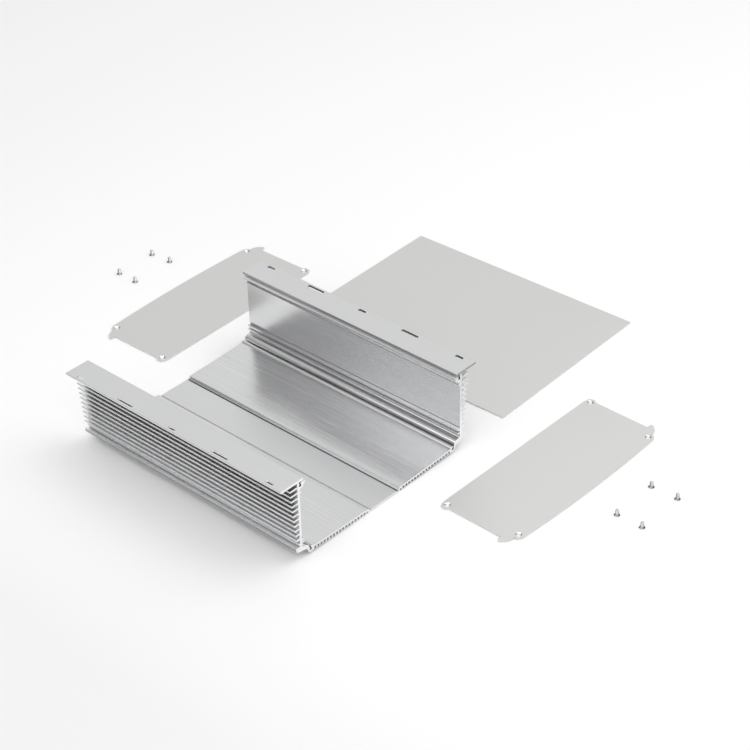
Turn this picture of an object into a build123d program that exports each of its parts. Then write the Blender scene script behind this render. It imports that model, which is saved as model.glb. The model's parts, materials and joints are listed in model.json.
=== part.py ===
from build123d import *
import math
import os

# Aluminium project box, taken apart and laid out on a table. Millimetres, +Z up.
# X runs along the extrusions, Y across the box (left side -Y), Z = 0 is the table.

# Main sizes of the box
bodyLength = 260.0            # side extrusions, centre strip and cover
bodyHeight = 82.1             # mounting face of the flanges above the table
wallInner = 100.3             # inside of each side wall, from the centre plane
wallThickness = 2.5
cutMargin = 1.0               # cuts reach this far past the faces they open

# Mounting flange along the top of the wall
flangeOverhang = 18.7         # beyond the outside of the wall
flangeLip = 4.8               # over the cover groove, inside the wall
flangeThickness = 2.2
flangeEdgeRound = 0.5
slotLineOut = 14.8            # outside of the wall to the centre line of the slots
slotEndInset = 15.6           # end of the flange to the middle of its last slot
slotCount = 5                 # short and long in turn, short at both ends
slotWidth = 3.4
shortSlotLength = 9.0
longSlotLength = 19.5

# Cooling fins on the outside of the wall
finCount = 12
finThickness = 1.7
firstFinDrop = 6.6            # flange top to the middle of the first fin
lastFinHeight = 17.4          # table to the middle of the last fin
firstFinReach = 9.0
finReachStep = 0.45           # each fin is this much shorter than the one above
lastFinReach = 1.8

# Screw channels along the wall that take the end plate screws
channelBore = 2.6
upperChannelInset = 0.9       # inside of the wall to the channel's centre
upperChannelDrop = 5.9        # flange top to the channel's centre
upperChannelMouth = 1.1
lowerChannelInset = 9.6
lowerChannelHeight = 5.2      # table to the channel's centre
lowerChannelMouth = 1.5
lowerChannelLean = 17.0       # mouth of the lower channel, degrees off vertical
lowerChannelRadius = 3.2      # outside of the lower channel

# Cover sheet and the grooves for it below the flanges
coverThickness = 1.5
coverGrooveHeight = 1.8
coverGrooveBite = 0.25        # how far the groove is cut into the wall
coverSideClearance = 0.3
coverLedgeReach = 6.7         # ledge that carries the cover, inside the wall
coverLedgeEdge = 0.8          # height of the ledge's blunt inner edge
coverLedgeDepth = 6.3         # groove floor to the bottom of the ledge at the wall
coverLedgeBulge = 0.7         # roundness of the ledge's underside

# Guide grooves for circuit boards on the wall
boardGroove = 2.1
guideThickness = 1.3
upperGuideReach = 2.1
lowerGuideReach = 2.8
lowerGrooveHeight = 20.4      # table to the top of the lower board groove
hookArm = 1.2
hookReach = 2.6
hookRise = 0.8

# Rounded foot below the fins and the curved knee that joins wall and base
footReach = 5.0               # beyond the outside of the wall
footTop = 15.0
footHeight = 5.6
footRound = 4.2
footEdgeRound = 0.6
kneeCentreInset = 2.7         # inside of the wall to the centre of the knee
kneeCentreHeight = 7.0
kneeRadius = 5.5
kneeValleyRound = 2.2         # hollow corner between wall and knee
hollowCentreInset = 1.8
hollowCentreHeight = 3.2
hollowRadius = 5.2

# Arched, ribbed half of the base
archRadius = 1700.0
baseThickness = 4.5           # skin and ribs together
skinThickness = 1.6
ribSlotCount = 18
ribSlotWidth = 2.1
outerSlotInset = 5.2          # lower channel to the middle of the first slot
innerSlotInset = 1.5          # edge at the seam to the middle of the last slot
lastSlotTop = 2.3             # the slot beside the seam is lower than the others

# Centre strip and the tongue and groove seams beside it
stripHalfWidth = 16.6         # the part of the strip that shows
stripThickness = 1.6
stripEdgeRound = 0.5
tongueReach = 2.2             # tongue beyond the showing edge
tongueThickness = 0.8
tongueClearance = 0.3
seamGap = 1.0                 # open slit between strip and ribbed half
seamFloor = 0.5               # thickness of the groove's floor, which carries the strip
seamFloorReach = 0.6          # floor beyond the lip
lipReach = 2.0                # lip over the tongue
lipTop = 2.4
lipRound = 0.4
seatClearance = 0.15
seamWeb = 1.0                 # shoulder to the first rib slot
shoulderRound = 0.6
shoulderDip = 0.35            # slope of the base's last strip down to the shoulder
shoulderDipWidth = 5.8

# End plates
plateThickness = 2.0
plateTopInset = 0.5           # straight edge below the flange top
plateSideInset = 0.8          # side edge inside the outside of the wall
plateArchOverhang = 2.7       # arched edge below the base, in the middle
plateArchRise = 2.7           # how far the arched edge curves back at its ends
plateLobeRadius = 5.0         # material round each screw hole
plateEarTopInset = 0.5        # ear's upper edge below the top of the foot
plateEarInset = 0.4           # ear's outer edge inside the foot
plateEarEdge = 2.4            # straight outer edge of the ear
plateEarCut = 4.2             # width of the ear's sloping corner
plateEarMargin = 2.1          # ear's lowest point below the foot
plateEarRound = 1.2
plateNotchOut = 8.1           # lower hole to the notch beside the ear, across
plateNotchUp = 0.4            # lower hole up to the notch

# Countersunk screws
screwDiameter = 3.0
screwHeadDiameter = 5.6
screwLength = 6.0
screwHeadRim = 0.25
screwEndChamfer = 0.45
crossWidth = 0.8
crossSpan = 3.0
crossDepth = 1.0
screwHoleClearance = 0.4
countersinkClearance = 0.5
countersinkAngle = 90.0

# Places on the table. The first number is the distance out from the end of the box,
# the second is measured across from its centre plane. Turns are in degrees.
frontPlatePlace = (45.8, 129.8)
frontPlateTurn = -0.4
rearPlatePlace = (47.0, 126.0)
rearPlateTurn = 1.37
frontScrewPlaces = [(160.7, 164.9), (187.4, 165.7), (161.4, 114.7), (187.4, 114.8)]
rearScrewPlaces = [(191.5, 149.8), (167.7, 152.0), (189.6, 103.5), (166.3, 103.4)]
coverOffset = -2.4            # along the box
coverGap = 35.05              # flange edge to cover
coverTurn = 1.65

# Sizes that follow from the ones above
wallOuter = wallInner + wallThickness
flangeOuter = wallOuter + flangeOverhang
flangeInner = wallInner - flangeLip
flangeUnder = bodyHeight - flangeThickness
slotLine = wallOuter + slotLineOut
slotPitch = (bodyLength - 2 * slotEndInset) / (slotCount - 1)
finPitch = (bodyHeight - firstFinDrop - lastFinHeight) / (finCount - 1)
coverGrooveFloor = flangeUnder - coverGrooveHeight
coverGrooveEnd = wallInner + coverGrooveBite
coverWidth = 2 * (coverGrooveEnd - coverSideClearance)
coverLedgeInner = wallInner - coverLedgeReach
upperChannelOut = wallInner - upperChannelInset
upperChannelHeight = bodyHeight - upperChannelDrop
lowerChannelOut = wallInner - lowerChannelInset
channelRowSpacing = upperChannelHeight - lowerChannelHeight
upperGrooveTop = coverGrooveFloor - coverLedgeDepth
footOuter = wallOuter + footReach
footBottom = footTop - footHeight
kneeCentreOut = wallInner - kneeCentreInset
kneeTop = kneeCentreHeight + kneeRadius
hollowCentreOut = wallInner - hollowCentreInset
lipEnd = stripHalfWidth + seamGap
ribbedEdge = lipEnd + lipReach
tongueEnd = stripHalfWidth + tongueReach
outerSlot = lowerChannelOut - outerSlotInset
innerSlot = ribbedEdge + innerSlotInset
ribPitch = (outerSlot - innerSlot) / (ribSlotCount - 1)
stripTop = seamFloor + stripThickness
tongueTop = seamFloor + tongueThickness


def archHeight(y, below=0.0):
    """Height of the arched base at y from the centre plane, or of a line below it."""
    return baseThickness + archRadius - math.sqrt((archRadius + below) ** 2 - y ** 2)


shoulderTop = archHeight(ribbedEdge) - shoulderDip


def box(y0, y1, z0, z1):
    return Pos((y0 + y1) / 2, (z0 + z1) / 2) * Rectangle(y1 - y0, z1 - z0)


def polygon(*points):
    return make_face(Polyline(*points, close=True))


def archedBand(y0, y1, below):
    """Part of the base between two distances from the centre plane."""
    middle = (y0 + y1) / 2
    top = ThreePointArc((y0, archHeight(y0)), (middle, archHeight(middle)), (y1, archHeight(y1)))
    under = ThreePointArc(
        (y1, archHeight(y1, below)), (middle, archHeight(middle, below)), (y0, archHeight(y0, below))
    )
    outerEdge = Line((y1, archHeight(y1)), (y1, archHeight(y1, below)))
    innerEdge = Line((y0, archHeight(y0, below)), (y0, archHeight(y0)))
    return make_face(Curve() + [top, outerEdge, under, innerEdge])


def fin(index):
    height = bodyHeight - firstFinDrop - index * finPitch
    reach = firstFinReach - index * finReachStep
    if index == finCount - 1:
        reach = lastFinReach
    tip = wallOuter + reach - finThickness / 2
    blade = box(wallInner, tip, height - finThickness / 2, height + finThickness / 2)
    return blade + Pos(tip, height) * Circle(finThickness / 2)


def roundCorner(section, y, z, radius):
    """Round the one corner of the section that lies at (y, z)."""
    corner = section.vertices().sort_by_distance((y, z, 0))[0]
    return fillet(corner, radius)


def wallSection():
    section = box(wallInner, wallOuter, footBottom, bodyHeight)
    flange = box(flangeInner, flangeOuter, flangeUnder, bodyHeight)
    section += fillet(flange.vertices(), flangeEdgeRound)
    for index in range(finCount):
        section += fin(index)
    ledgeEdge = (coverLedgeInner, coverGrooveFloor - coverLedgeEdge)
    ledgeRoot = (wallInner, coverGrooveFloor - coverLedgeDepth)
    ledgeTop = Polyline(
        ledgeRoot, (wallInner, coverGrooveFloor), (coverLedgeInner, coverGrooveFloor), ledgeEdge
    )
    section += make_face(Curve() + [ledgeTop, SagittaArc(ledgeEdge, ledgeRoot, -coverLedgeBulge)])
    section -= box(flangeInner - cutMargin, coverGrooveEnd, coverGrooveFloor, flangeUnder)
    section -= Pos(upperChannelOut, upperChannelHeight) * Circle(channelBore / 2)
    mouth = upperChannelMouth / 2
    mouthTop = coverGrooveFloor + cutMargin
    section -= box(upperChannelOut - mouth, upperChannelOut + mouth, upperChannelHeight, mouthTop)
    return section


def guideSection():
    upperRibTop = upperGrooveTop - boardGroove
    section = box(wallInner - upperGuideReach, wallOuter, upperRibTop - guideThickness, upperRibTop)
    section += box(wallInner - hookReach, wallOuter, lowerGrooveHeight, lowerGrooveHeight + hookArm)
    section += box(
        wallInner - hookReach,
        wallInner - hookReach + hookArm,
        lowerGrooveHeight,
        lowerGrooveHeight + hookArm + hookRise,
    )
    lowerRibTop = lowerGrooveHeight - boardGroove
    section += box(wallInner - lowerGuideReach, wallOuter, lowerRibTop - guideThickness, lowerRibTop)
    return section


def kneeSection():
    foot = box(wallInner, footOuter, footBottom, footTop)
    foot = roundCorner(foot, footOuter, footBottom, footRound)
    foot = roundCorner(foot, footOuter, footTop, footEdgeRound)
    knee = Pos(kneeCentreOut, kneeCentreHeight) * Circle(kneeRadius)
    knee -= box(kneeCentreOut, footOuter, 0, kneeTop)
    bridge = polygon(
        (kneeCentreOut, kneeCentreHeight),
        (kneeCentreOut, kneeTop),
        (wallOuter, kneeTop),
        (wallOuter, footBottom),
        (hollowCentreOut, hollowCentreHeight + hollowRadius),
    )
    valleyOut = wallInner - kneeValleyRound
    valleyTop = kneeTop + kneeValleyRound
    valley = box(valleyOut, wallInner, kneeTop, valleyTop)
    valley -= Pos(valleyOut, valleyTop) * Circle(kneeValleyRound)
    section = foot + knee + bridge + valley
    section -= Pos(hollowCentreOut, hollowCentreHeight) * Circle(hollowRadius)
    section -= box(hollowCentreOut - hollowRadius, footOuter, 0, hollowCentreHeight)
    return section + Pos(lowerChannelOut, lowerChannelHeight) * Circle(lowerChannelRadius)


def lowerChannelCut():
    mouth = Rectangle(lowerChannelMouth, 2 * lowerChannelRadius, align=(Align.CENTER, Align.MIN))
    cut = Circle(channelBore / 2) + mouth
    return Pos(lowerChannelOut, lowerChannelHeight) * Rot(0, 0, -lowerChannelLean) * cut


def baseSection():
    section = archedBand(ribbedEdge, lowerChannelOut, baseThickness)
    for index in range(ribSlotCount):
        middle = outerSlot - index * ribPitch
        start = max(middle - ribSlotWidth / 2, ribbedEdge + seamWeb)
        slotTop = archHeight(middle, skinThickness)
        if index == ribSlotCount - 1:
            slotTop = lastSlotTop
        section -= box(start, middle + ribSlotWidth / 2, -cutMargin, slotTop)
    dipStart = ribbedEdge + shoulderDipWidth
    above = archHeight(dipStart) + cutMargin
    return section - polygon(
        (ribbedEdge, shoulderTop),
        (dipStart, archHeight(dipStart)),
        (dipStart, above),
        (ribbedEdge, above),
    )


def seamSection():
    """Groove for the strip's tongue: floor, lip and the web behind them."""
    floor = box(lipEnd - seamFloorReach, ribbedEdge + seamWeb, 0, seamFloor)
    lip = box(lipEnd, ribbedEdge, tongueTop + seatClearance, lipTop)
    web = box(tongueEnd + tongueClearance, ribbedEdge + seamWeb, 0, lipTop)
    return floor + lip + web


def sideSection():
    section = wallSection() + guideSection() + kneeSection() + baseSection() + seamSection()
    section -= lowerChannelCut()
    section = roundCorner(section, ribbedEdge, shoulderTop, shoulderRound)
    return roundCorner(section, lipEnd, lipTop, lipRound)


def alongBox(section):
    return extrude(Plane.YZ * section, bodyLength / 2, both=True)


def flangeSlots():
    slots = Part()
    for index in range(slotCount):
        length = shortSlotLength if index % 2 == 0 else longSlotLength
        along = slotEndInset + index * slotPitch - bodyLength / 2
        outline = Pos(along, slotLine) * SlotOverall(length, slotWidth)
        floor = Plane.XY.offset(flangeUnder - cutMargin)
        slots += extrude(floor * outline, flangeThickness + 2 * cutMargin)
    return slots


def centreStrip():
    section = box(-stripHalfWidth, stripHalfWidth, seamFloor, stripTop)
    section = fillet(section.vertices().group_by(Axis.Y)[-1], stripEdgeRound)
    return alongBox(section + box(-tongueEnd, tongueEnd, seamFloor, tongueTop))


def plateHalf():
    """Half outline of an end plate: x across the plate, y down from the upper screws."""
    plateSide = wallOuter - plateSideInset
    topEdge = plateTopInset - upperChannelDrop
    archDrop = upperChannelHeight + plateArchOverhang
    archEdge = archDrop - plateArchRise
    quarterDrop = archDrop - plateArchRise / 4
    earOuter = footOuter - plateEarInset
    earTop = upperChannelHeight - footTop + plateEarTopInset
    earBottom = upperChannelHeight - footBottom + plateEarMargin
    arch = ThreePointArc((0, archDrop), (lowerChannelOut / 2, quarterDrop), (lowerChannelOut, archEdge))
    rim = Polyline(
        (lowerChannelOut, archEdge),
        (lowerChannelOut, channelRowSpacing),
        (lowerChannelOut + plateNotchOut, channelRowSpacing - plateNotchUp),
        (earOuter - plateEarCut, earBottom),
        (earOuter, earTop + plateEarEdge),
        (earOuter, earTop),
        (plateSide, earTop),
        (plateSide, topEdge),
        (0, topEdge),
        (0, archDrop),
    )
    half = make_face(Curve() + [arch, rim])
    half = roundCorner(half, earOuter, earTop, plateEarRound)
    half = roundCorner(half, plateSide, topEdge, plateLobeRadius)
    half += Pos(upperChannelOut, 0) * Circle(plateLobeRadius)
    return half + Pos(lowerChannelOut, channelRowSpacing) * Circle(plateLobeRadius)


def endPlate():
    half = plateHalf()
    plate = extrude(half + mirror(half, Plane.YZ), plateThickness)
    for side in (-1, 1):
        for across, down in ((upperChannelOut, 0), (lowerChannelOut, channelRowSpacing)):
            sink = CounterSinkHole(
                (screwDiameter + screwHoleClearance) / 2,
                (screwHeadDiameter + countersinkClearance) / 2,
                plateThickness,
                countersinkAngle,
            )
            plate -= Pos(side * across, down, plateThickness) * sink
    return plate


def screw():
    """Countersunk screw standing on its head, thread up."""
    radius = screwDiameter / 2
    headRadius = screwHeadDiameter / 2
    coneTop = screwHeadRim + headRadius - radius
    profile = polygon(
        (0, 0),
        (headRadius, 0),
        (headRadius, screwHeadRim),
        (radius, coneTop),
        (radius, screwLength - screwEndChamfer),
        (radius - screwEndChamfer, screwLength),
        (0, screwLength),
    )
    body = revolve(Plane.XZ * profile, Axis.Z)
    recess = Box(crossSpan, crossWidth, crossDepth) + Box(crossWidth, crossSpan, crossDepth)
    return body - Pos(0, 0, crossDepth / 2) * recess


rightSide = alongBox(sideSection()) - flangeSlots()
plate = endPlate()
fastener = screw()

frontEnd = bodyLength / 2
coverMiddle = flangeOuter + coverGap + coverWidth / 2

nodes = {
    "right_side_extrusion": rightSide,
    "left_side_extrusion": Rot(0, 0, 180) * rightSide,
    "centre_strip": centreStrip(),
    "cover_sheet": (
        Pos(coverOffset, coverMiddle, coverThickness / 2)
        * Rot(0, 0, coverTurn)
        * Box(bodyLength, coverWidth, coverThickness)
    ),
    "front_end_plate": (
        Pos(frontEnd + frontPlatePlace[0], frontPlatePlace[1], 0)
        * Rot(0, 0, frontPlateTurn - 90)
        * plate
    ),
    "rear_end_plate": (
        Pos(-frontEnd - rearPlatePlace[0], rearPlatePlace[1], 0)
        * Rot(0, 0, rearPlateTurn + 90)
        * plate
    ),
}
for number, (out, across) in enumerate(frontScrewPlaces, 1):
    nodes[f"front_screw_{number}"] = Pos(frontEnd + out, across, 0) * fastener
for number, (out, across) in enumerate(rearScrewPlaces, 1):
    nodes[f"rear_screw_{number}"] = Pos(-frontEnd - out, across, 0) * fastener

# The origin is the middle of the whole layout on the table
bounds = [shape.bounding_box() for shape in nodes.values()]
middleX = (min(b.min.X for b in bounds) + max(b.max.X for b in bounds)) / 2
middleY = (min(b.min.Y for b in bounds) + max(b.max.Y for b in bounds)) / 2
toOrigin = Pos(-middleX, -middleY, 0)

os.makedirs("parts", exist_ok=True)
for name, shape in nodes.items():
    placed = toOrigin * shape
    export_step(placed, f"parts/{name}.step")
    size = placed.bounding_box()
    print(name, len(placed.solids()), size.min, size.max, round(placed.volume, 1))
print("layout moved by", toOrigin.position)
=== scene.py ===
import json
import math

import bpy
from mathutils import Matrix, Vector

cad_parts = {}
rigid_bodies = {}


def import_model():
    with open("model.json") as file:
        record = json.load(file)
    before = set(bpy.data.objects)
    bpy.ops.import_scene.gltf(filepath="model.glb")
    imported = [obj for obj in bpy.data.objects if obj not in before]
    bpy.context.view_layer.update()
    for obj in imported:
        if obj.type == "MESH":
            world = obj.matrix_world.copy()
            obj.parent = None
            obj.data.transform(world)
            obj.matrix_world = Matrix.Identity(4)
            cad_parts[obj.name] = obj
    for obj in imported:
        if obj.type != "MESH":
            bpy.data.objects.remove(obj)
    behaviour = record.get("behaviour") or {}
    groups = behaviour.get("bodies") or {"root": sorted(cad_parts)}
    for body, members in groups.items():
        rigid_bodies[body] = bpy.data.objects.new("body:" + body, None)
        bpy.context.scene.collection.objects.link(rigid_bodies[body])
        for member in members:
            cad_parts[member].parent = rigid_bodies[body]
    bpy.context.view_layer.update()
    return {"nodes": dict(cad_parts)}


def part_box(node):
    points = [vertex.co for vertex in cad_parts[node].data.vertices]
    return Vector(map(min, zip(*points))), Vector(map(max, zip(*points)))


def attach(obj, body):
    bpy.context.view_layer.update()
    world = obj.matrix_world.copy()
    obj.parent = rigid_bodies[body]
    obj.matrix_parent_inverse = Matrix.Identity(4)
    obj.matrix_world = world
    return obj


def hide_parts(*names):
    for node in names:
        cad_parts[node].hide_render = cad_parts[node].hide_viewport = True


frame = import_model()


photoView = {
    "place": (1.08941, -1.158606, 1.10674),
    "around": -47.137,           # degrees from the X axis, towards Y
    "above": 34.599,             # degrees above the table
    "roll": -1.447,
    "lens": 100.57,              # millimetres, as the sensor
    "sensor": 36.0,
    "nearest": 0.05,             # only what lies between these two distances is drawn
    "farthest": 60.0,
}


def towards(around, above):
    # the direction that lies so many degrees from the X axis and above the table
    around, above = math.radians(around), math.radians(above)
    return Vector((
        math.cos(around) * math.cos(above),
        math.sin(around) * math.cos(above),
        math.sin(above),
    ))


def aimCamera():
    around = math.radians(photoView["around"])
    roll = math.radians(photoView["roll"])
    back = towards(photoView["around"], photoView["above"])
    right = Vector((-math.sin(around), math.cos(around), 0))
    up = back.cross(right)
    right, up = (
        right * math.cos(roll) + up * math.sin(roll),
        up * math.cos(roll) - right * math.sin(roll),
    )
    bpy.ops.object.camera_add()
    camera = bpy.context.object
    camera.name = "photoCamera"
    axes = Matrix((right, up, back)).transposed().to_4x4()
    camera.matrix_world = Matrix.Translation(photoView["place"]) @ axes
    camera.data.lens = photoView["lens"]
    camera.data.sensor_width = photoView["sensor"]
    camera.data.clip_start = photoView["nearest"]
    camera.data.clip_end = photoView["farthest"]
    bpy.context.scene.camera = camera


aimCamera()
print("camera in place")


class Wire:
    # one socket of a shader, so that shader maths reads as maths
    def __init__(self, tree, socket=None):
        self.tree = tree
        self.socket = socket

    def node(self, kind, settings=None, inputs=None, output=0):
        # any node: its settings first, then the values or links of its sockets
        made = self.tree.nodes.new(kind)
        for name, value in (settings or {}).items():
            setattr(made, name, value)
        for name, value in (inputs or {}).items():
            if isinstance(value, Wire):
                self.tree.links.new(value.socket, made.inputs[name])
            else:
                made.inputs[name].default_value = value
        return Wire(self.tree, made.outputs[output] if made.outputs else None)

    def maths(self, operation, first, second=0):
        return self.node("ShaderNodeMath", {"operation": operation}, {0: first, 1: second})

    def __add__(self, other):
        return self.maths("ADD", self, other)

    def __radd__(self, other):
        return self.maths("ADD", other, self)

    def __sub__(self, other):
        return self.maths("SUBTRACT", self, other)

    def __rsub__(self, other):
        return self.maths("SUBTRACT", other, self)

    def __mul__(self, other):
        return self.maths("MULTIPLY", self, other)

    def __rmul__(self, other):
        return self.maths("MULTIPLY", other, self)

    def __gt__(self, other):
        return self.maths("GREATER_THAN", self, other)

    def __lt__(self, other):
        return self.maths("LESS_THAN", self, other)

    def magnitude(self):
        return self.maths("ABSOLUTE", self)

    def between(self, low, high):
        return (self > low) * (self < high)

    def centred(self):
        # noise runs from 0 to 1, and this makes it swing about 0
        return self - 0.5

    def choose(self, outside, inside):
        # this wire is a mask: 0 gives the first value, 1 the second
        return outside + self * (inside - outside)

    def axis(self, letter):
        # one of the three parts of a vector
        return self.node("ShaderNodeSeparateXYZ", None, {"Vector": self}, output=letter)


def newMaterial(name):
    material = bpy.data.materials.new(name)
    material.use_nodes = True
    tree = material.node_tree
    tree.nodes.clear()
    return material, Wire(tree)


def makeSurface(wire, inputs):
    shader = wire.node("ShaderNodeBsdfPrincipled", None, inputs)
    wire.node("ShaderNodeOutputMaterial", None, {"Surface": shader})


def tinted(value, finish):
    # a grey with a little more or less red and blue
    return value.node("ShaderNodeCombineColor", None, {
        "Red": value + finish["red"],
        "Green": value,
        "Blue": value + finish["blue"],
    })


noise = {
    "detail": 2.0,
    "fineDetail": 3.0,
    "roughness": 0.6,
}


def streaks(wire, perMetre, detail=noise["detail"]):
    # noise with so many spots per metre along X, Y and Z: the fewer, the longer they are
    place = wire.node("ShaderNodeTexCoord", output="Object")
    mapped = wire.node("ShaderNodeMapping", None, {"Vector": place, "Scale": perMetre})
    return wire.node("ShaderNodeTexNoise", None, {
        "Vector": mapped,
        "Scale": 1.0,
        "Detail": detail,
        "Roughness": noise["roughness"],
    })


# metres: heights above the table, depths below the flange's top, reaches from the strip's middle
# a facing is how far a face's direction points along one axis, from -1 to 1
extruded = {
    "colour": 0.72,
    "red": -0.003,               # the drawn metal is a little cool
    "blue": 0.006,
    "roughness": 0.24,
    "linesPerMetre": (9, 620, 620),
    "fineLinesPerMetre": (24, 1900, 1900),
    "coarseShare": 0.6,          # of the die lines, and the others are fine
    "lineColour": 0.30,          # how much the die lines lighten and darken
    "lineRoughness": 0.20,
    "lineDepth": 0.00010,
    "lineStrength": 0.5,
    "smoothLines": 0.22,         # what is left of the lines on the flanges and the strip
    "smoothRoughness": 0.36,
    "uprightLines": 0.55,        # and what is left on the walls
    "mottlePerMetre": (14, 30, 30),
    "mottle": 0.03,
    "levelFacing": 0.7,          # level faces point up or down at least this much
    "ledgeDepth": (0.0031, 0.0046),   # the cover ledge's face lies between these
    # painted light: the cover ledge's face is made non-metallic, so that it shows as a pale band,
    # standing in for the light along it
    "ledgePaintedLight": 0.75,
    # painted shade: the upright faces near the top of the right flange, its lip among them, are
    # darkened to stand in for the shadow and dark reflection along them
    "edgeDepth": 0.0024,         # the flange's own edges lie above this
    "edgeShade": 0.50,
    # painted shade: the low wall of the right seam beside the strip is darkened to a dark line,
    # standing in for the shade in the gap
    "seamHeight": 0.00245,
    "seamFacing": -0.5,          # the shaded wall of the seam points towards -Y
    "seamShade": 0.25,
    "stripReach": 0.0172,        # the strip lies inside this
    "finReach": 0.1030,          # fins and foot lie outside this
    "finHeight": 0.0145,         # fins lie above this, and the foot below
    # painted light: the outer fins are lightened, standing in for light reaching in between them
    "finPaintedLight": 0.17,           # how much lighter the fins are
    # painted shade: the foot below the fins is darkened, standing in for the shade that falls along
    # it
    "footPaintedShade": 0.30,          # how much darker the foot is
    "sawnFacing": 0.8,           # the sawn ends point along X at least this much
    "sawnColour": 0.86,
    "sawnRoughness": 0.20,
    "sawMarksPerMetre": (900, 700, 12),
    "sawMarks": 0.12,
}


def extrusionZones(wire):
    # masks, each 1 on its own part of the extrusions
    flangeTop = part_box("right_side_extrusion")[1][2]
    stripLow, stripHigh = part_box("centre_strip")
    facing = wire.node("ShaderNodeTexCoord", output="Normal")
    place = wire.node("ShaderNodeTexCoord", output="Object")
    height = place.axis("Z")
    across = place.axis("Y") - (stripLow[1] + stripHigh[1]) / 2
    reach = across.magnitude()
    rightSide = across > 0
    level = facing.axis("Z").magnitude() > extruded["levelFacing"]
    ledgeTop, wallTop = (flangeTop - depth for depth in extruded["ledgeDepth"])
    flange = (height > wallTop) * level
    edge = (height > flangeTop - extruded["edgeDepth"]) * (1 - level)
    seam = (facing.axis("Y") < extruded["seamFacing"]) * (height < extruded["seamHeight"])
    outside = reach > extruded["finReach"]
    return {
        "sawn": facing.axis("X").magnitude() > extruded["sawnFacing"],
        "upright": 1 - level,
        "smooth": wire.maths("MAXIMUM", flange, reach < extruded["stripReach"]),
        "ledge": level * height.between(wallTop, ledgeTop),
        "edge": edge * rightSide,
        "seam": seam * rightSide,
        "fins": outside * height.between(extruded["finHeight"], wallTop),
        "foot": outside * (height < extruded["finHeight"]),
    }


def makeExtruded():
    material, wire = newMaterial("anodisedExtrusion")
    zone = extrusionZones(wire)
    sawn = zone["sawn"]
    lines = streaks(wire, extruded["linesPerMetre"], noise["fineDetail"])
    fineLines = streaks(wire, extruded["fineLinesPerMetre"])
    sawMarks = streaks(wire, extruded["sawMarksPerMetre"])
    mottle = streaks(wire, extruded["mottlePerMetre"], noise["fineDetail"])
    allLines = lines * extruded["coarseShare"] + fineLines * (1 - extruded["coarseShare"])
    faded = zone["smooth"] * (1 - extruded["smoothLines"])
    faded = faded + zone["upright"] * (1 - extruded["uprightLines"])
    drawn = allLines.centred() * (1 - faded)
    # painted light on the outer fins
    metal = extruded["colour"] + zone["fins"] * extruded["finPaintedLight"]
    # painted shade on the foot
    metal = metal - zone["foot"] * extruded["footPaintedShade"]
    metal = metal + drawn * extruded["lineColour"] + mottle.centred() * extruded["mottle"]
    cut = extruded["sawnColour"] + sawMarks.centred() * extruded["sawMarks"]
    # painted shade along the right flange's upright edge faces
    shade = zone["edge"].choose(1, extruded["edgeShade"])
    # painted shade in the right seam beside the strip
    shade = shade * zone["seam"].choose(1, extruded["seamShade"])
    polish = zone["smooth"].choose(extruded["roughness"], extruded["smoothRoughness"])
    polish = polish + drawn * extruded["lineRoughness"]
    relief = wire.node("ShaderNodeBump", None, {
        "Strength": extruded["lineStrength"],
        "Distance": extruded["lineDepth"],
        "Height": sawn.choose(drawn, sawMarks),
    })
    makeSurface(wire, {
        "Base Color": tinted(sawn.choose(metal, cut) * shade, extruded),
        # painted light: the ledge face loses its metal shine and shows pale
        "Metallic": 1 - zone["ledge"] * extruded["ledgePaintedLight"],
        "Roughness": sawn.choose(polish, extruded["sawnRoughness"]),
        "Normal": relief,
    })
    return material


sheet = {
    "colour": 0.72,
    "red": 0.0,
    "blue": -0.014,              # the sheets are a little warm
    "roughness": 0.50,
    "grainPerMetre": (1800, 1800, 1800),
    "grainColour": 0.02,
    "grainRoughness": 0.1,
    "grainDepth": 0.00001,
    "grainStrength": 0.15,
    "rollMarksPerMetre": (30, 500, 500),
    "rollMarks": 0.03,
    "boreFacing": (0.5, 0.9),    # the countersinks face up at least and at most this much
    "boreRoughness": 0.14,
}


def makeSheet():
    material, wire = newMaterial("anodisedSheet")
    facing = wire.node("ShaderNodeTexCoord", output="Normal")
    grain = streaks(wire, sheet["grainPerMetre"])
    rollMarks = streaks(wire, sheet["rollMarksPerMetre"])
    value = sheet["colour"] + grain.centred() * sheet["grainColour"]
    value = value + rollMarks.centred() * sheet["rollMarks"]
    polish = sheet["roughness"] + grain.centred() * sheet["grainRoughness"]
    bore = facing.axis("Z").between(*sheet["boreFacing"])
    relief = wire.node("ShaderNodeBump", None, {
        "Strength": sheet["grainStrength"],
        "Distance": sheet["grainDepth"],
        "Height": grain,
    })
    makeSurface(wire, {
        "Base Color": tinted(value, sheet),
        "Metallic": 1.0,
        "Roughness": bore.choose(polish, sheet["boreRoughness"]),
        "Normal": relief,
    })
    return material


materials = {
    "extruded_aluminium": makeExtruded(),
    "sheet_aluminium": makeSheet(),
}
print("aluminium finishes made")


rounding = {
    "merge": 0.000002,           # points closer than this are one point
    "flatAngle": 0.4,            # degrees, faces closer than this are one face
    "edgeAngle": 35.0,           # sharper edges than this are broken
    "segments": 2,
    "smoothAngle": 30.0,
}

# how wide the edges of each piece are broken
extrusionEdges = {
    "right_side_extrusion": 0.00012,
    "left_side_extrusion": 0.00012,
    "centre_strip": 0.00015,
}
sheetEdges = {
    "cover_sheet": 0.0002,
    "front_end_plate": 0.00015,
    "rear_end_plate": 0.00015,
}


def selectOnly(piece):
    bpy.ops.object.select_all(action="DESELECT")
    piece.select_set(True)
    bpy.context.view_layer.objects.active = piece


def breakEdges(piece, width):
    bevel = piece.modifiers.new("brokenEdges", "BEVEL")
    bevel.width = width
    bevel.segments = rounding["segments"]
    bevel.limit_method = "ANGLE"
    bevel.angle_limit = math.radians(rounding["edgeAngle"])
    bpy.ops.object.modifier_apply(modifier=bevel.name)


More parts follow.
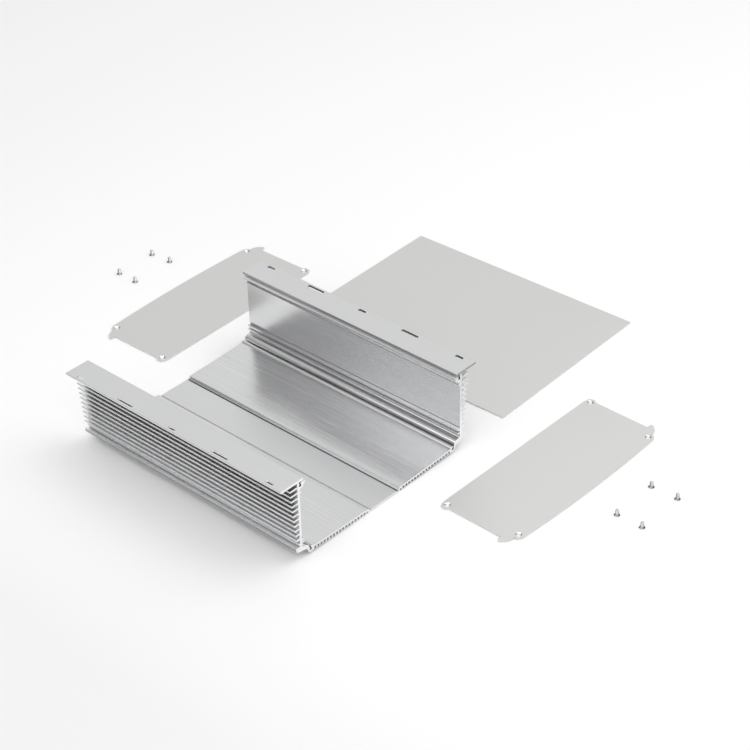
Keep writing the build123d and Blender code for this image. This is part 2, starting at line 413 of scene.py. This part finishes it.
def finishedCopy(node, slot, edge):
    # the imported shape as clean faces, its edges broken as real ones are
    selectOnly(frame["nodes"][node])
    bpy.ops.object.duplicate()
    piece = bpy.context.object
    piece.name = node + "_finished"
    for key in [key for key in piece.keys() if key.startswith("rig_")]:
        del piece[key]           # the CAD node's own marks
    bpy.ops.object.parent_clear(type="CLEAR_KEEP_TRANSFORM")
    bpy.ops.object.mode_set(mode="EDIT")
    bpy.ops.mesh.select_all(action="SELECT")
    bpy.ops.mesh.remove_doubles(threshold=rounding["merge"])
    bpy.ops.mesh.customdata_custom_splitnormals_clear()
    bpy.ops.mesh.dissolve_limited(angle_limit=math.radians(rounding["flatAngle"]))
    bpy.ops.object.mode_set(mode="OBJECT")
    breakEdges(piece, edge)
    bpy.ops.object.shade_smooth_by_angle(angle=math.radians(rounding["smoothAngle"]))
    # big faces keep their own direction, so the shine doesn't bend near the broken edges
    facing = piece.modifiers.new("flatFacesLead", "WEIGHTED_NORMAL")
    facing.mode = "FACE_AREA"
    facing.keep_sharp = True
    bpy.ops.object.modifier_apply(modifier=facing.name)
    piece.data.materials.clear()
    piece.data.materials.append(materials[slot])
    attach(piece, "root")
    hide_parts(node)


for node, width in extrusionEdges.items():
    finishedCopy(node, "extruded_aluminium", width)
for node, width in sheetEdges.items():
    finishedCopy(node, "sheet_aluminium", width)
print("extrusions and sheets finished")


screw = {
    "headRadius": 0.0028,
    "headSides": 48,
    "rim": 0.00025,
    "rimEdge": 0.00006,
    "topFacing": 0.9,            # the head's upper face points up at least this much
    "coneTop": 0.00155,
    "length": 0.006,
    "coreRadius": 0.00122,
    "threadRadius": 0.0015,
    "pitch": 0.0005,
    "threadSteps": 24,
    "threadMerge": 0.000001,
    "pointLength": 0.0006,
    "pointShrink": 0.86,
    "crossWidth": 0.0008,
    "crossSpan": 0.003,
    "crossDepth": 0.001,
    "turnStep": 67.0,            # degrees that each screw is turned further than the last
}

plated = {
    "colour": 0.70,
    "red": 0.01,                 # the plating is a little warm
    "blue": -0.015,
    "flankFacing": (0.3, 0.9),   # thread and cone face up or down between these, and are darker
    # painted dark reflection: the thread flanks and the head's cone are darkened, standing in for the
    # dark surroundings they mirror
    "flankShade": 0.14,
    "coneShade": 0.28,           # the cone is darker by this as well
    "grainPerMetre": (2500, 2500, 2500),
    "grainColour": 0.05,
    "grainRoughness": 0.04,
    "roughness": 0.05,
}


def makePlated():
    material, wire = newMaterial("platedSteel")
    facing = wire.node("ShaderNodeTexCoord", output="Normal")
    place = wire.node("ShaderNodeTexCoord", output="Object")
    grain = streaks(wire, plated["grainPerMetre"]).centred()
    flank = facing.axis("Z").magnitude().between(*plated["flankFacing"])
    cone = flank * (place.axis("Z") < screw["coneTop"])
    # painted dark reflection on the thread flanks and the cone
    value = plated["colour"] - flank * plated["flankShade"] - cone * plated["coneShade"]
    makeSurface(wire, {
        "Base Color": tinted(value + grain * plated["grainColour"], plated),
        "Metallic": 1.0,
        "Roughness": plated["roughness"] + grain * plated["grainRoughness"],
    })
    return material


def pickParts(piece, kind, wanted):
    # in edit mode, with only the wanted edges or faces selected
    bpy.ops.object.mode_set(mode="EDIT")
    bpy.ops.mesh.select_mode(type=kind)
    bpy.ops.mesh.select_all(action="DESELECT")
    bpy.ops.object.mode_set(mode="OBJECT")
    parts = piece.data.edges if kind == "EDGE" else piece.data.polygons
    for part in parts:
        part.select = wanted(part)
    bpy.ops.object.mode_set(mode="EDIT")


def makeThread():
    # one V of the profile, wound up the shank and cut level at both ends
    bpy.ops.mesh.primitive_circle_add(vertices=3, radius=screw["pitch"] / math.sqrt(3))
    thread = bpy.context.object
    for point in thread.data.vertices:
        flank = abs(point.co.x) > screw["pitch"] / 4
        point.co = (
            screw["coreRadius"] if flank else screw["threadRadius"],
            0,
            math.copysign(screw["pitch"] / 2, point.co.x) if flank else 0,
        )
    middle = (screw["coreRadius"] + screw["threadRadius"]) / 2

    def closesProfile(edge):
        return all(thread.data.vertices[end].co.x < middle for end in edge.vertices)

    pickParts(thread, "EDGE", closesProfile)
    bpy.ops.mesh.delete(type="EDGE")
    bpy.ops.mesh.select_mode(type="VERT")
    bpy.ops.object.mode_set(mode="OBJECT")
    winding = thread.modifiers.new("winding", "SCREW")
    winding.axis = "Z"
    winding.screw_offset = screw["pitch"]
    winding.iterations = math.ceil(screw["length"] / screw["pitch"]) + 1
    winding.steps = screw["threadSteps"]
    winding.render_steps = screw["threadSteps"]
    winding.use_merge_vertices = True
    winding.merge_threshold = screw["threadMerge"]
    bpy.ops.object.modifier_apply(modifier=winding.name)
    bpy.ops.object.mode_set(mode="EDIT")
    threadStart = screw["coneTop"] - screw["pitch"]
    for height, keepUpper in ((threadStart, True), (screw["length"], False)):
        bpy.ops.mesh.select_all(action="SELECT")
        bpy.ops.mesh.bisect(
            plane_co=(0, 0, height),
            plane_no=(0, 0, 1),
            use_fill=True,
            clear_inner=keepUpper,
            clear_outer=not keepUpper,
        )
    bpy.ops.object.mode_set(mode="OBJECT")
    for point in thread.data.vertices:
        above = point.co.z - (screw["length"] - screw["pointLength"])
        if above > 0:
            shrink = 1 - (1 - screw["pointShrink"]) * above / screw["pointLength"]
            point.co.x *= shrink
            point.co.y *= shrink
    return thread


def makeHead():
    # countersunk head with its cross recess, lying face down
    bpy.ops.mesh.primitive_cylinder_add(
        vertices=screw["headSides"],
        radius=screw["headRadius"],
        depth=screw["rim"],
        location=(0, 0, screw["rim"] / 2),
    )
    head = bpy.context.object
    bpy.ops.object.transform_apply(location=True, rotation=False, scale=False)
    pickParts(head, "FACE", lambda face: face.normal.z > screw["topFacing"])
    bpy.ops.mesh.extrude_region_move(
        TRANSFORM_OT_translate={"value": (0, 0, screw["coneTop"] - screw["rim"])}
    )
    narrow = screw["threadRadius"] / screw["headRadius"]
    bpy.ops.transform.resize(value=(narrow, narrow, 1), center_override=(0, 0, screw["coneTop"]))
    bpy.ops.object.mode_set(mode="OBJECT")
    bar = (screw["crossSpan"], screw["crossWidth"])
    for barX, barY in (bar, reversed(bar)):
        bpy.ops.mesh.primitive_cube_add(size=1, location=(0, 0, 0))
        cutter = bpy.context.object
        bpy.ops.transform.resize(value=(barX, barY, 2 * screw["crossDepth"]))
        bpy.ops.object.transform_apply(location=True, rotation=True, scale=True)
        recess = head.modifiers.new("crossRecess", "BOOLEAN")
        recess.operation = "DIFFERENCE"
        recess.object = cutter
        selectOnly(head)
        bpy.ops.object.modifier_apply(modifier=recess.name)
        selectOnly(cutter)
        bpy.ops.object.delete()
    selectOnly(head)
    breakEdges(head, screw["rimEdge"])
    return head


def makeScrew():
    thread = makeThread()
    head = makeHead()
    thread.select_set(True)
    bpy.context.view_layer.objects.active = head
    bpy.ops.object.join()
    bpy.ops.object.mode_set(mode="EDIT")
    bpy.ops.mesh.select_all(action="SELECT")
    bpy.ops.mesh.normals_make_consistent(inside=False)
    bpy.ops.object.mode_set(mode="OBJECT")
    bpy.ops.object.shade_smooth_by_angle(angle=math.radians(rounding["smoothAngle"]))
    head.name = "screwPattern"
    head.data.materials.append(makePlated())
    return head


def placeScrews():
    pattern = makeScrew()
    nodes = sorted(name for name in frame["nodes"] if "screw" in name)
    for number, node in enumerate(nodes):
        low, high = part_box(node)
        selectOnly(pattern)
        bpy.ops.object.duplicate(linked=False)
        piece = bpy.context.object
        piece.name = node + "_threaded"
        piece.rotation_euler.z = math.radians(number * screw["turnStep"])
        piece.location = ((low[0] + high[0]) / 2, (low[1] + high[1]) / 2, low[2])
        bpy.ops.object.transform_apply(location=True, rotation=True, scale=True)
        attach(piece, "root")
        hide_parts(node)
    selectOnly(pattern)
    bpy.ops.object.delete()


placeScrews()
print("screws placed")


studio = {
    "tableRadius": 8.0,
    "tableSides": 96,
    "tableColour": (0.88, 0.88, 0.88, 1),
    "tableRoughness": 0.8,
    "tableShine": 0.2,
    "ambient": 0.23,
    "horizon": (0.04, 0.22),     # the room is dark below the first height, full above the second
}

# soft glows of the room: degrees from the X axis and above the table
roomGlows = (
    {"around": 133, "above": 25, "tightness": 2.0, "strength": 0.64},   # white sweep at the back
    {"around": 313, "above": 30, "tightness": 2.0, "strength": 1.29},   # wall behind the camera
    {"around": 0, "above": 90, "tightness": 3.0, "strength": 0.27},     # ceiling
)

softboxes = (
    {
        "name": "keySoftbox",
        "place": (0.7, 0.7, 1.6),
        "aim": (0, 0, 0),
        "size": (1.5, 1.5),
        "glow": 1.7,
    },
    {
        "name": "nearFill",
        "place": (0.02, -0.42, 0.44),
        "aim": (0.02, 0, 0.44),
        "size": (0.76, 0.27),
        "glow": 1.27,
    },
)


def layTable():
    bpy.ops.mesh.primitive_circle_add(
        vertices=studio["tableSides"], radius=studio["tableRadius"], fill_type="NGON"
    )
    table = bpy.context.object
    table.name = "paleTable"
    material, wire = newMaterial("paleTable")
    makeSurface(wire, {
        "Base Color": studio["tableColour"],
        "Roughness": studio["tableRoughness"],
        "Specular IOR Level": studio["tableShine"],
    })
    table.data.materials.append(material)


def glowTowards(direction, glow):
    # brightest in the glow's own direction, and dark on the other side of the room
    aim = towards(glow["around"], glow["above"])
    facing = direction.node(
        "ShaderNodeVectorMath", {"operation": "DOT_PRODUCT"}, {0: direction, 1: aim}, output="Value"
    )
    lobe = facing.maths("POWER", facing.maths("MAXIMUM", facing), glow["tightness"])
    return lobe * glow["strength"]


def lightRoom():
    world = bpy.data.worlds.new("studioRoom")
    world.use_nodes = True
    direction = Wire(world.node_tree).node("ShaderNodeTexCoord")
    strength = studio["ambient"]
    for glow in roomGlows:
        strength = strength + glowTowards(direction, glow)
    low, high = studio["horizon"]
    strength = strength * direction.node("ShaderNodeMapRange", {"interpolation_type": "SMOOTHSTEP"}, {
        "Value": direction.axis("Z"),
        "From Min": low,
        "From Max": high,
    })
    background = world.node_tree.nodes["Background"]
    background.inputs["Color"].default_value = (1, 1, 1, 1)
    world.node_tree.links.new(strength.socket, background.inputs["Strength"])
    bpy.context.scene.world = world


def placeSoftboxes():
    for box in softboxes:
        place = Vector(box["place"])
        bpy.ops.object.light_add(type="AREA", location=place)
        light = bpy.context.object
        light.name = box["name"]
        light.data.shape = "RECTANGLE"
        light.data.size, light.data.size_y = box["size"]
        light.data.energy = box["glow"] * math.pi * box["size"][0] * box["size"][1]
        light.visible_camera = False
        light.rotation_mode = "QUATERNION"
        light.rotation_quaternion = (place - Vector(box["aim"])).to_track_quat("Z", "Y")


layTable()
lightRoom()
placeSoftboxes()
bpy.context.scene.view_settings.view_transform = "Standard"
print("table and light ready")
